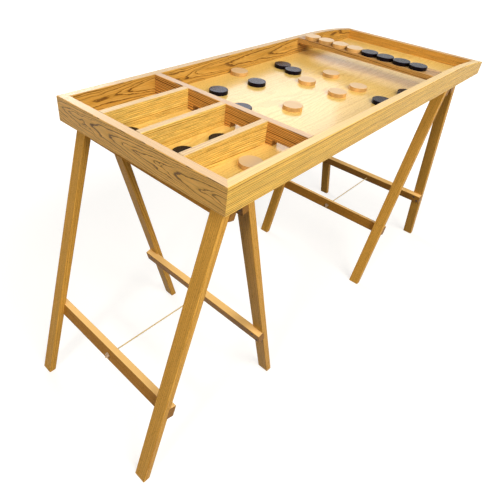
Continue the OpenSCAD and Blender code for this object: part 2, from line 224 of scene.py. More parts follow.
# The middle of a noise, which gives a pattern its whole contrast, and the peaks of one, which mark pores
NOISE_SPAN = {"From Min": 0.3, "From Max": 0.7}
PORE_SPAN = {"From Min": 0.56, "From Max": 0.68}
# How squarely a face cuts the grain where end grain begins to show, and where it shows in full
END_SPAN = {"From Min": 0.75, "From Max": 0.95}
# How squarely a face looks up where its painted light and sheen begin, and where they show in full
PAINTED_TOP_LIGHT_SPAN = {"From Min": 0.6, "From Max": 0.98}
# Length and width of the patches of tone and of the fibres in every wood, in millimetres. The fibres are
# drawn coarser than they are, so that they show.
PATCH_SIZE, FIBRE_SIZE = (240.0, 60.0), (90.0, 1.9)
# Share of the figure that is left where a patch of tone is weakest
WEAK_FIGURE = 0.7
# Changes in growth from year to year: how often they come, per year, and how much they move a ring
GOOD_YEARS, GOOD_YEARS_SHIFT = 0.45, 1.6
# How much rougher the wood is in a pore, and how much of its relief shows
PORE_ROUGHNESS, RELIEF_SHARE = 0.25, 0.6


@dataclass(frozen=True)
class Timber:
    """A sawn, sanded and lacquered wood, whose year rings run through the whole piece.

    Attributes:
        name: what the wood is.
        early: colour of the open wood at the start of a ring, as hex.
        body: colour of the middle of a ring.
        late: colour of the dense wood at its end.
        ring: width of a year ring, in millimetres.
        early_share: how much of a ring is open wood, from 0 to 1.
        figure: how strongly the rings show, from 0 to 1.
        sway: how far the rings wander, in millimetres.
        sway_size: length and width over which they wander, in millimetres.
        pore_size: length and width of a pore or fleck, in millimetres, drawn coarse enough to show.
        pores: how dark the pores are, from 0 to 1.
        pores_in_early: share of the pores that keep to the early wood, from 0 to 1.
        streaks: how much the fibres differ in brightness, from 0 to 1.
        end_shade: how much of its light the end grain keeps.
        painted_top_light: colour of the painted light and sheen that the faces that look up take, as hex.
        painted_top_light_share: how much of that painted light and sheen they take, from 0 to 1.
        roughness: roughness of the wood under the lacquer.
        specular: strength of the wood's own reflection, where 0.5 is plain.
        gloss: colour of that reflection, as hex.
        coat: weight of the lacquer.
        coat_roughness: roughness of the lacquer.
        relief: depth of the pores and rings, in millimetres.
    """

    name: str
    early: str
    body: str
    late: str
    ring: float = 2.8
    early_share: float = 0.24
    figure: float = 1.0
    sway: float = 14.0
    sway_size: tuple[float, float] = (260.0, 45.0)
    pore_size: tuple[float, float] = (16.0, 1.1)
    pores: float = 0.35
    pores_in_early: float = 0.8
    streaks: float = 0.16
    end_shade: float = 0.7
    painted_top_light: str = "#FFFFFF"
    painted_top_light_share: float = 0.0
    roughness: float = 0.45
    specular: float = 0.25
    gloss: str = "#FFFFFF"
    coat: float = 0.08
    coat_roughness: float = 0.16
    relief: float = 0.12

    def dress(self, node: str, cut: Cut) -> None:
        """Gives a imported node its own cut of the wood.

        Args:
            node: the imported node.
            cut: how it was sawn.
        """
        dress(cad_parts[node], self.material(node, cut))

    def material(self, piece: str, cut: Cut) -> Material:
        """Makes the wood of one piece.

        Args:
            piece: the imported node, whose middle the log is centred on.
            cut: how the piece was sawn.

        Returns:
            The material.
        """
        material, tree = new_material(f"{self.name}_{piece}")
        spot = add(tree, "ShaderNodeTexCoord")
        turn = cut.lay().to_euler()
        log_place = add(tree, "ShaderNodeMapping", {
            "Vector": spot.outputs["Object"], "Location": cut.place(middle(piece)),
            "Rotation": turn, "Scale": (1 / MM,) * 3})
        facing = add(tree, "ShaderNodeMapping", {
            "Vector": spot.outputs["Normal"], "Rotation": turn}, vector_type="NORMAL")
        grain = log_place.outputs[0]
        rings = self.rings(tree, grain)
        pores = self.pore_marks(tree, grain, rings)
        colour = self.colour(tree, grain, rings, pores)
        colour = self.end_grain(tree, colour, facing.outputs[0])
        # Painted light: the faces that look up take a paler or tinted colour, as light and sheen from above
        # would give them
        colour = self.paint_top_light(tree, colour, spot.outputs["Normal"])
        rough = add(tree, "ShaderNodeMath", {
            0: pores, 1: PORE_ROUGHNESS, 2: self.roughness}, operation="MULTIPLY_ADD")
        height = add(tree, "ShaderNodeMath", {0: rings, 1: pores}, operation="SUBTRACT")
        bump = add(tree, "ShaderNodeBump", {
            "Height": height.outputs[0], "Strength": RELIEF_SHARE, "Distance": self.relief * MM})
        surface = add(tree, "ShaderNodeBsdfPrincipled", {
            "Base Color": colour, "Roughness": rough.outputs[0], "Normal": bump.outputs[0],
            "Specular IOR Level": self.specular, "Specular Tint": linear(self.gloss),
            "Coat Weight": self.coat, "Coat Roughness": self.coat_roughness, "Coat IOR": 1.5})
        add(tree, "ShaderNodeOutputMaterial", {"Surface": surface.outputs[0]})
        return material

    @staticmethod
    def pattern(tree: Tree, grain: Socket, size: tuple[float, float], detail: float) -> Socket:
        """Lays an irregular pattern along the grain.

        Args:
            tree: the material's tree.
            grain: the place in the log, in millimetres, with the grain along X.
            size: the pattern's length along the grain and its width across, in millimetres.
            detail: how many finer layers it has.

        Returns:
            The pattern, from 0 to 1.
        """
        long, wide = size
        place = add(tree, "ShaderNodeVectorMath", {
            0: grain, 1: (1 / long, 1 / wide, 1 / wide)}, operation="MULTIPLY")
        return add(tree, "ShaderNodeTexNoise", {
            "Vector": place.outputs[0], "Scale": 1.0, "Detail": detail}).outputs[0]

    def rings(self, tree: Tree, grain: Socket) -> Socket:
        """Lays the year rings round the heart.

        Args:
            tree: the material's tree.
            grain: the place in the log, in millimetres, with the grain along X.

        Returns:
            The share of a ring's width passed since the ring began.
        """
        wander = self.pattern(tree, grain, self.sway_size, detail=5.0)
        around = add(tree, "ShaderNodeVectorMath", {0: grain, 1: (0.0, 1.0, 1.0)}, operation="MULTIPLY")
        radius = add(tree, "ShaderNodeVectorMath", {0: around.outputs[0]}, operation="LENGTH")
        swayed = add(tree, "ShaderNodeMath", {
            0: wander, 1: self.sway, 2: radius.outputs["Value"]}, operation="MULTIPLY_ADD")
        years = add(tree, "ShaderNodeMath", {0: swayed.outputs[0], 1: self.ring}, operation="DIVIDE")
        good_years = add(tree, "ShaderNodeTexNoise", {
            "W": years.outputs[0], "Scale": GOOD_YEARS, "Detail": 1.0}, noise_dimensions="1D")
        uneven = add(tree, "ShaderNodeMath", {
            0: good_years.outputs[0], 1: GOOD_YEARS_SHIFT, 2: years.outputs[0]}, operation="MULTIPLY_ADD")
        return add(tree, "ShaderNodeMath", {0: uneven.outputs[0]}, operation="FRACT").outputs[0]

    def pore_marks(self, tree: Tree, grain: Socket, rings: Socket) -> Socket:
        """Marks the pores or flecks, short dark dashes along the grain.

        Args:
            tree: the material's tree.
            grain: the place in the log.
            rings: the share of a ring passed.

        Returns:
            How much of a pore a place has, from 0 to 1.
        """
        early = add(tree, "ShaderNodeMapRange", {
            **EARLY_SPAN, "Value": rings, "To Min": 1 - self.pores_in_early, "To Max": 1.0})
        marks = add(tree, "ShaderNodeMapRange", {
            **PORE_SPAN, "Value": self.pattern(tree, grain, self.pore_size, detail=1.0)},
            interpolation_type="SMOOTHSTEP")
        return add(tree, "ShaderNodeMath", {
            0: marks.outputs[0], 1: early.outputs[0]}, operation="MULTIPLY").outputs[0]

    def colour(self, tree: Tree, grain: Socket, rings: Socket, pores: Socket) -> Socket:
        """Colours the wood from its rings, pores, fibres and slow changes of tone.

        Args:
            tree: the material's tree.
            grain: the place in the log.
            rings: the share of a ring passed.
            pores: how much of a pore a place has.

        Returns:
            The wood's colour.
        """
        ring_colour = add(tree, "ShaderNodeValToRGB", {0: rings}, [
            (0.0, self.early), (self.early_share, self.early), (self.early_share + EARLY_FADE, self.body),
            (LATE_AT, self.late), (1.0, self.body)])
        strength = add(tree, "ShaderNodeMapRange", {
            **NOISE_SPAN, "Value": self.pattern(tree, grain, PATCH_SIZE, detail=2.0),
            "To Min": WEAK_FIGURE * self.figure, "To Max": self.figure})
        figured = add(tree, "ShaderNodeMix", {
            0: strength.outputs[0], 6: linear(self.body), 7: ring_colour.outputs[0]}, data_type="RGBA")
        fibres = add(tree, "ShaderNodeMapRange", {
            **NOISE_SPAN, "Value": self.pattern(tree, grain, FIBRE_SIZE, detail=2.0),
            "To Min": 1 - self.streaks, "To Max": 1.0})
        shade = add(tree, "ShaderNodeMath", {
            0: pores, 1: -self.pores, 2: fibres.outputs[0]}, operation="MULTIPLY_ADD")
        return add(tree, "ShaderNodeMix", {
            0: 1.0, 6: figured.outputs[2], 7: shade.outputs[0]},
            data_type="RGBA", blend_type="MULTIPLY").outputs[2]

    def end_grain(self, tree: Tree, colour: Socket, facing: Socket) -> Socket:
        """Darkens the faces that cut across the grain.

        Args:
            tree: the material's tree.
            colour: the wood's colour.
            facing: the face's normal in the log.

        Returns:
            The colour with its end grain.
        """
        axes = add(tree, "ShaderNodeSeparateXYZ", {0: facing})
        across = add(tree, "ShaderNodeMath", {0: axes.outputs[0]}, operation="ABSOLUTE")
        end = add(tree, "ShaderNodeMapRange", {
            **END_SPAN, "Value": across.outputs[0]}, interpolation_type="SMOOTHSTEP")
        shade = add(tree, "ShaderNodeMapRange", {
            "Value": end.outputs[0], "To Min": 1.0, "To Max": self.end_shade})
        return add(tree, "ShaderNodeMix", {
            0: 1.0, 6: colour, 7: shade.outputs[0]}, data_type="RGBA", blend_type="MULTIPLY").outputs[2]

    def paint_top_light(self, tree: Tree, colour: Socket, normal: Socket) -> Socket:
        """Paints light and sheen onto the faces that look up, paler or tinted as if lit from above.

        Args:
            tree: the material's tree.
            colour: the wood's colour.
            normal: the face's normal.

        Returns:
            The colour with its painted light and sheen.
        """
        axes = add(tree, "ShaderNodeSeparateXYZ", {0: normal})
        painted_top_light = add(tree, "ShaderNodeMapRange", {
            **PAINTED_TOP_LIGHT_SPAN, "Value": axes.outputs[2], "To Max": self.painted_top_light_share})
        return add(tree, "ShaderNodeMix", {
            0: painted_top_light.outputs[0], 6: colour, 7: linear(self.painted_top_light)}, data_type="RGBA").outputs[2]


# Where a wood has a crown colour, that is painted light and sheen on the faces that look up
# Ash, planed, sanded and lacquered. It is ring-porous, so each year starts with a dark open line.
# Near side rail: golden, with straight lines all along
RAIL_ASH = Timber(
    "lacquered_ash_rail", "#9A560A", "#FFCC58", "#FFDB72", ring=3.0, early_share=0.2, sway=10.0,
    sway_size=(300.0, 48.0), streaks=0.36, painted_top_light="#FFE4AE", painted_top_light_share=0.7)
# Far side rail: browner and narrow-ringed, its lines spread into flames
FAR_RAIL_ASH = Timber(
    "lacquered_ash_far_rail", "#643A10", "#CE9A42", "#E0B05A", ring=1.7, early_share=0.13, sway=8.0,
    sway_size=(150.0, 34.0), streaks=0.34, painted_top_light="#EBD2AC", painted_top_light_share=0.6)
# Pocket end board: narrow-ringed, with dark nested flames on its outer face
POCKET_END_ASH = Timber(
    "lacquered_ash_pocket_end", "#4A2A06", "#ECB458", "#F8C470", ring=1.6, early_share=0.12, sway=7.0,
    sway_size=(120.0, 30.0), streaks=0.32, painted_top_light="#F0D4B2", painted_top_light_share=0.65)
# Player's end board: an orange brown with quiet, close lines
PLAYER_END_ASH = Timber(
    "lacquered_ash_player_end", "#8A5416", "#E6A844", "#F0BC60", ring=2.0, sway=7.0, streaks=0.32,
    painted_top_light="#E6C8A0", painted_top_light_share=0.4)
# Gate board: a reddish brown with strong dark lines
GATE_ASH = Timber(
    "lacquered_ash_gate_board", "#482404", "#D89A48", "#E8AE60", ring=3.0, sway=7.0, streaks=0.32,
    painted_top_light="#EBD0B4", painted_top_light_share=0.65)
# Dividers: the palest boards, golden, with soft lines
DIVIDER_ASH = Timber(
    "lacquered_ash_divider", "#AC6A10", "#FFD062", "#FFE890", ring=2.4, sway=9.0, streaks=0.4,
    painted_top_light="#EBD0B0", painted_top_light_share=0.6)
# Starting bar: tan, its top a little paler with painted light
BAR_ASH = Timber(
    "lacquered_ash_bar", "#6A4010", "#DAA458", "#E4B46A", ring=2.4, streaks=0.32, painted_top_light="#D8B080",
    painted_top_light_share=0.3)
# Birch plywood under polished lacquer: a rotary-cut face, so the rings lie nearly flat and wander in wide
# flames, with a clear gloss over them
FLOOR_BIRCH = Timber(
    "polished_birch_plywood", "#E2B258", "#FED87C", "#FFE290", ring=1.1, figure=0.4, sway=9.0,
    sway_size=(320.0, 70.0), pore_size=(7.0, 2.2), pores=0.17, pores_in_early=0.0, streaks=0.1,
    roughness=0.36, specular=0.3, coat=0.4, coat_roughness=0.15, relief=0.02)
# Beech, planed and lacquered: close, even and satin, with short dark flecks
LEG_BEECH = Timber(
    "lacquered_beech_leg", "#B67A28", "#E2AA4C", "#EAB65A", figure=0.7, sway=8.0, pore_size=(4.0, 1.1),
    pores=0.3, pores_in_early=0.0, streaks=0.19, specular=0.12, coat=0.0)
# The same for the bearers and stretchers, browner, with their tops much paler with painted light
BATTEN_BEECH = Timber(
    "lacquered_beech_batten", "#9A6824", "#BE8434", "#C68E40", figure=0.7, sway=8.0, pore_size=(5.0, 1.0),
    pores=0.3, pores_in_early=0.0, streaks=0.24, specular=0.12, coat=0.0, painted_top_light="#FFD48A", painted_top_light_share=0.9)
# Beech, turned and waxed: pinkish and pale, with hardly a line, and painted sheen paling its top
LIGHT_BEECH = Timber(
    "waxed_beech_puck", "#C89A58", "#DEAE6C", "#E4B87A", figure=0.7, sway=5.0, pore_size=(4.0, 0.8),
    pores=0.15, pores_in_early=0.0, streaks=0.12, painted_top_light="#E8CAA0", painted_top_light_share=0.9, coat=0.1,
    coat_roughness=0.25)
# Beech, turned, stained nearly black and waxed, its reflections tinted bluish and its top tinted bluish with
# painted sheen
DARK_BEECH = Timber(
    "stained_beech_puck", "#0A0504", "#120A08", "#1E110F", figure=0.8, sway=5.0, pore_size=(4.0, 0.8),
    pores=0.3, pores_in_early=0.0, streaks=0.3, painted_top_light="#16141A", painted_top_light_share=0.6, roughness=0.2,
    specular=0.17, gloss="#9CA8FF", coat=0.0)


@dataclass(frozen=True)
class Steel:
    """Steel with a thin dark surface.

    Attributes:
        name: what the steel is.
        colour: its colour, as hex.
        worn: its colour in the bright spots of its mottle.
        roughness: its roughness.
        metallic: how metallic it looks.
        grit: size of the mottle, in millimetres, drawn coarse enough to show.
        spread: how far its roughness goes up and down with the mottle.
        worn_from: where in the mottle the steel begins to brighten, from 0 to 1.
        worn_at: where in the mottle it is brightest.
        relief: depth of the mottle, in millimetres.
        relief_share: how much of that depth shows.
    """

    name: str
    colour: str
    worn: str
    roughness: float
    metallic: float
    grit: float
    spread: float = 0.12
    worn_from: float = 0.35
    worn_at: float = 0.75
    relief: float = 0.05
    relief_share: float = 0.3

    def material(self) -> Material:
        """Makes the steel's material."""
        material, tree = new_material(self.name)
        spot = add(tree, "ShaderNodeTexCoord")
        mottle = add(tree, "ShaderNodeTexNoise", {
            "Vector": spot.outputs["Object"], "Scale": 1 / (self.grit * MM), "Detail": 4.0})
        colour = add(tree, "ShaderNodeValToRGB", {0: mottle.outputs[0]}, [
            (self.worn_from, self.colour), (self.worn_at, self.worn)])
        rough = add(tree, "ShaderNodeMapRange", {
            "Value": mottle.outputs[0], "To Min": self.roughness + self.spread,
            "To Max": self.roughness - self.spread})
        bump = add(tree, "ShaderNodeBump", {
            "Height": mottle.outputs[0], "Strength": self.relief_share, "Distance": self.relief * MM})
        surface = add(tree, "ShaderNodeBsdfPrincipled", {
            "Base Color": colour.outputs[0], "Roughness": rough.outputs[0], "Normal": bump.outputs[0],
            "Metallic": self.metallic})
        add(tree, "ShaderNodeOutputMaterial", {"Surface": surface.outputs[0]})
        return material


# Rolled steel, burnished dark, with a faint brighter mottle
HINGE_STEEL = Steel("burnished_steel", "#3A3A3C", "#6E6E70", roughness=0.42, metallic=0.9, grit=3.0)
# Wood screws, phosphated, nearly black
SCREW_STEEL = Steel("phosphated_steel", "#28282A", "#4A4A4C", roughness=0.5, metallic=0.8, grit=1.5)


@dataclass(frozen=True)
class Hemp:
    """Laid natural fibre, straw-coloured and dull.

    Attributes:
        name: what the fibre is.
        shade: its colour between the fibres, as hex.
        straw: its colour on them.
        fibre: width of the fibres, in millimetres, drawn coarser than they are so that they show.
        shade_to: where in the pattern the shade ends, from 0 to 1.
        straw_from: where in the pattern the straw colour is whole.
        relief: how far the fibres stand up, in millimetres.
        relief_share: how much of that shows.
    """

    name: str
    shade: str
    straw: str
    fibre: float = 0.5
    shade_to: float = 0.25
    straw_from: float = 0.55
    relief: float = 0.2
    relief_share: float = 0.5

    def material(self) -> Material:
        """Makes the fibre's material."""
        material, tree = new_material(self.name)
        spot = add(tree, "ShaderNodeTexCoord")
        hairs = add(tree, "ShaderNodeTexNoise", {
            "Vector": spot.outputs["Object"], "Scale": 1 / (self.fibre * MM), "Detail": 2.0})
        colour = add(tree, "ShaderNodeValToRGB", {0: hairs.outputs[0]}, [
            (self.shade_to, self.shade), (self.straw_from, self.straw)])
        bump = add(tree, "ShaderNodeBump", {
            "Height": hairs.outputs[0], "Strength": self.relief_share, "Distance": self.relief * MM})
        surface = add(tree, "ShaderNodeBsdfPrincipled", {
            "Base Color": colour.outputs[0], "Roughness": 0.9, "Normal": bump.outputs[0],
            "Sheen Weight": 0.3})
        add(tree, "ShaderNodeOutputMaterial", {"Surface": surface.outputs[0]})
        return material


# Hemp cord, taut and clean
CORD_HEMP = Hemp("laid_hemp_cord", "#8E7038", "#E6CE92")
# The same cord where it is knotted: its fibres coarser and pinkish, with painted shade darkening it between
# them for the shade in the knot's gaps
KNOT_HEMP = Hemp("laid_hemp_knot", "#5E442C", "#E2C4A4", fibre=0.9)


@dataclass(frozen=True)
class Rope:
    """A cord laid up from strands that touch.

    Attributes:
        diameter: its diameter.
        lay: the length in which a strand goes once round.
        strands: the number of strands.
        reach: how far round a strand shows to each side, in degrees.
        points: the points drawn on each strand.
        steps: the rings of points in one turn of the strands.
    """

    diameter: float = 4.0 * MM
    lay: float = 13.0 * MM
    strands: int = 3
    reach: float = 140.0
    points: int = 9
    steps: int = 12

    def section(self, turn: float) -> list[tuple[float, float]]:
        """Draws the outline across the cord.

        Args:
            turn: how far the strands have gone round, in radians.

        Returns:
            The outline's points, across and up.
        """
        strand = self.diameter / 2 / (1 + 1 / math.sin(math.pi / self.strands))
        out = self.diameter / 2 - strand
        outline = []
        for k in range(self.strands):
            way = turn + math.tau * k / self.strands
            for i in range(self.points):
                bow = way + math.radians(self.reach) * (2 * i / (self.points - 1) - 1)
                outline.append((out * math.cos(way) + strand * math.cos(bow),
                                out * math.sin(way) + strand * math.sin(bow)))
        return outline

    def sweep(self, bm: Mesh, path: list[Vector]) -> None:
        """Lays the cord along a path and closes its ends.

        Args:
            bm: the mesh that takes it.
            path: the points that its centre follows.
        """
        tangent = (path[1] - path[0]).normalized()
        side = tangent.orthogonal().normalized()
        turn, rings = 0.0, []
        for i, point in enumerate(path):
            before, after = path[max(i - 1, 0)], path[min(i + 1, len(path) - 1)]
            ahead = (after - before).normalized()
            side = tangent.rotation_difference(ahead) @ side
            tangent = ahead
            up = tangent.cross(side)
            turn += math.tau * (point - before).length / self.lay
            rings.append([bm.verts.new(point + side * x + up * y) for x, y in self.section(turn)])
        for ring, following in zip(rings, rings[1:]):
            for k in range(len(ring)):
                bm.faces.new((ring[k - 1], ring[k], following[k], following[k - 1]))
        bm.faces.new(rings[0])
        bm.faces.new(rings[-1])

    def line(self, start: Vector, end: Vector) -> list[Vector]:
        """Returns the points of a taut line, close enough together to show the lay."""
        count = math.ceil((end - start).length / self.lay * self.steps)
        return [start.lerp(end, i / count) for i in range(count + 1)]


@dataclass(frozen=True)
class Knot:
    """An overhand knot drawn tight against its recess, with a short tail.

    Attributes:
        loop: size of its loops, a third of their reach from the middle.
        depth: how far its crossings stand apart, along the cord.
        tail: length of the cord's end that stands out of it.
        droop: how far the tail's end sinks, as a share of its length.
        steps: the points drawn round the loops.
    """

    loop: float = 1.9 * MM
    depth: float = 2.8 * MM
    tail: float = 8.0 * MM
    droop: float = 0.4
    steps: int = 72

    def tie(self, bm: Mesh, rope: Rope, place: Matrix) -> None:
        """Ties the knot.

        Args:
            bm: the mesh that takes it.
            rope: the cord.
            place: the knot's middle, with X out along the cord.
        """
        turns = [math.tau * i / self.steps for i in range(self.steps + 1)]
        rope.sweep(bm, [place @ Vector((
            -self.depth * math.sin(3 * t),
            self.loop * (math.sin(t) + 2 * math.sin(2 * t)),
            self.loop * (math.cos(t) - 2 * math.cos(2 * t)))) for t in turns])
        rope.sweep(bm, [place @ Vector((self.tail * u, 0.0, -self.droop * self.tail * u * u))
                        for u in (i / rope.steps for i in range(rope.steps + 1))])


@dataclass(frozen=True)
class WoodScrew:
    """A countersunk wood screw with a cross in its head.

    Attributes:
        diameter: diameter of its shank.
        head: diameter of its head.
        length: its length over all.
        tip: radius of its blunted tip.
        point: length of its point, in diameters of the shank.
        cross_reach: how far the cross reaches from its middle, in diameters of the head.
        cross_width: width of the cross's arms, as a share of its reach.
        cross_depth: depth of the cross, as a share of the head's.
        cross_bottom: size of the cross at its bottom, as a share of its size at the top.
        sides: the number of its sides.
    """

    diameter: float
    head: float
    length: float
    tip: float = 0.1 * MM
    point: float = 1.5
    cross_reach: float = 0.3
    cross_width: float = 0.5
    cross_depth: float = 0.7
    cross_bottom: float = 0.6
    sides: int = 24

    def drive(self, bm: Mesh, place: Matrix) -> None:
        """Adds the screw.

        Args:
            bm: the mesh that takes it.
            place: its head's middle, with X along it.
        """
        cone = (self.head - self.diameter) / 2
        taper = self.point * self.diameter
        profile = ((0.0, self.head / 2), (cone, self.diameter / 2),
                   (self.length - taper, self.diameter / 2), (self.length, self.tip))
        line = [bm.verts.new(place @ Vector((along, radius, 0.0))) for along, radius in profile]
        side = [bm.edges.new(ends) for ends in zip(line, line[1:])]
        bmesh.ops.spin(bm, geom=line + side, cent=place.translation, axis=place.to_3x3().col[0],
                       angle=math.tau, steps=self.sides, use_merge=True)
        rims = [edge for edge in bm.edges if edge.is_boundary]
        head = [edge for edge in rims if (edge.verts[0].co - place.translation).length < self.head]
        bmesh.ops.holes_fill(bm, edges=[edge for edge in rims if edge not in head], sides=0)
        self.cut_cross(bm, place, head, self.cross_depth * cone)

    def cut_cross(self, bm: Mesh, place: Matrix, rim: list[bmesh.types.BMEdge], depth: float) -> None:
        """Closes the head with a face and sinks a cross into it.

        Args:
            bm: the mesh.
            place: the head's middle, with X along the screw.
            rim: the edges round the head.
            depth: how deep the cross goes.
        """
        arm = self.cross_reach * self.head
        half = self.cross_width * arm / 2
        corners = []
        for turn in range(4):
            spin = Matrix.Rotation(math.pi / 2 * turn, 4, "X")
            corners += [bm.verts.new(place @ spin @ Vector((0.0, y, z)))
                        for y, z in ((arm, -half), (arm, half), (half, half))]
        cross = bm.faces.new(corners)
        bmesh.ops.bridge_loops(bm, edges=rim + list(cross.edges))
        sunk = bmesh.ops.extrude_discrete_faces(bm, faces=[cross])["faces"][0]
        bmesh.ops.scale(bm, vec=(self.cross_bottom,) * 3, space=Matrix.Translation(-place.translation),
                        verts=sunk.verts)
        bmesh.ops.translate(bm, vec=place.to_3x3().col[0] * depth, verts=sunk.verts)


@dataclass
class Tray:
    """The tray: the rails, ends, floor, gate board, dividers and starting bar."""

    dividers: int = 3

    def dress(self) -> None:
        """Gives each board its own cut of its wood."""
        RAIL_ASH.dress("near_rail", Cut(Run.ALONG, (-300, -420), (0.5, 0.3), 900))
        FAR_RAIL_ASH.dress("far_rail", Cut(Run.ALONG, (46, 6), (0.4, 0.8), 300))
        POCKET_END_ASH.dress("pocket_end", Cut(Run.ACROSS, (-40, 2), (0.4, 1.7), 120))
        PLAYER_END_ASH.dress("player_end", Cut(Run.ACROSS, (-150, -210), (0.6, 1.0), 700))
        FLOOR_BIRCH.dress("floor_panel", Cut(Run.ALONG, (0, -900), (0, 0), 0))
        GATE_ASH.dress("gate_board", Cut(Run.ACROSS, (-70, -90), (2.5, 1.0), 1400))
        for i in range(self.dividers):
            DIVIDER_ASH.dress(f"divider_{i + 1}", Cut(Run.ALONG, (-60, -70 - 30 * i), (1, 3), 500 * i))
        BAR_ASH.dress("starting_bar", Cut(Run.ACROSS, (-30, 160), (1, 2), 2000))


@dataclass
class PuckSet:
    """The loose pucks, each turned as it came to lie.

    Attributes:
        light: the number of light pucks.
        dark: the number of dark pucks.
        heart_aside: how far a log's heart may lie to one side, in millimetres.
        heart_above: how little and how far it may lie above.
        log_length: length of the log, in millimetres.
        seed: start of the random draws.
    """

    light: int = 11
    dark: int = 14
    heart_aside: float = 60.0
    heart_above: tuple[float, float] = (20.0, 60.0)
    log_length: float = 5000.0
    seed: int = 7

    def dress(self) -> None:
        """Gives each puck its own cut of its beech."""
        chance = random.Random(self.seed)
        for wood, colour, count in ((LIGHT_BEECH, "light", self.light), (DARK_BEECH, "dark", self.dark)):
            for i in range(count):
                heart = chance.uniform(-self.heart_aside, self.heart_aside), chance.uniform(*self.heart_above)
                wood.dress(f"{colour}_puck_{i + 1}", Cut(
                    Run.ALONG, heart, (2, 2), chance.uniform(0, self.log_length), chance.uniform(0, 180)))


@dataclass(frozen=True)
class TrestleSizes:
    """The sizes that all four leaning frames share.

    Attributes:
        hinge_z: height of the hinge line.
        fold_gap: gap between two folded frames.
        bearer_reach: how far a bearer reaches below the hinge line.
        stretcher: thickness of the stretchers.
        leg_y: how far a leg's middle lies from the trestle's.
        hinge_y: how far a hinge's middle lies from the trestle's.
        stretcher_z: height of the stretchers' middle.
        screw_step: half the spacing of two frame screws.
        leaf_step: spacing of the leaf screws.
        leaf: thickness of a hinge leaf.
        leaf_w: how far the leaf screws lie below the hinge line, along the frame.
        cord_z: height of the cord.
        cord_x: where the cord goes into a stretcher, from the trestle's middle; not used.
        knot_x: where a knot's middle lies, from the trestle's middle.
    """

    hinge_z: float = 733.0 * MM
    fold_gap: float = 3.6 * MM
    bearer_reach: float = 43.0 * MM
    stretcher: float = 21.0 * MM
    leg_y: float = 223.0 * MM
    hinge_y: float = 170.5 * MM
    stretcher_z: float = 215.0 * MM
    screw_step: float = 7.5 * MM
    leaf_step: float = 20.0 * MM
    leaf: float = 1.5 * MM
    leaf_w: float = 14.1 * MM
    cord_z: float = 212.0 * MM
    cord_x: float = 154.2 * MM
    knot_x: float = 175.25 * MM

    def frame_screws(self) -> list[Vector]:
        """Returns the heads of a frame's screws: out from the fold, across, and up along the frame."""
        cosine, sine = math.cos(math.radians(SPLAY)), math.sin(math.radians(SPLAY))
        bearer_w = -self.bearer_reach / cosine / 2
        middle_v = (self.fold_gap + self.stretcher) / 2
        stretcher_w = -(self.hinge_z - self.stretcher_z + middle_v * sine) / cosine
        return [Vector((self.fold_gap / 2, s * (self.leg_y + d * self.screw_step), w - d * self.screw_step))
                for s in (-1, 1) for w in (bearer_w, stretcher_w) for d in (-1, 1)]

    def leaf_screws(self) -> list[Vector]:
        """Returns the heads of the screws that hold a frame's hinge leaves."""
        return [Vector((self.fold_gap / 2 - self.leaf, s * self.hinge_y + d * self.leaf_step, -self.leaf_w))
                for s in (-1, 1) for d in (-1, 0, 1)]


FRAME_SCREW = WoodScrew(diameter=4.0 * MM, head=8.0 * MM, length=31.0 * MM)
LEAF_SCREW = WoodScrew(diameter=2.5 * MM, head=5.0 * MM, length=14.0 * MM)
# The angle, in degrees, from which an edge of a cord stays sharp
CORD_CREASE = 50.0


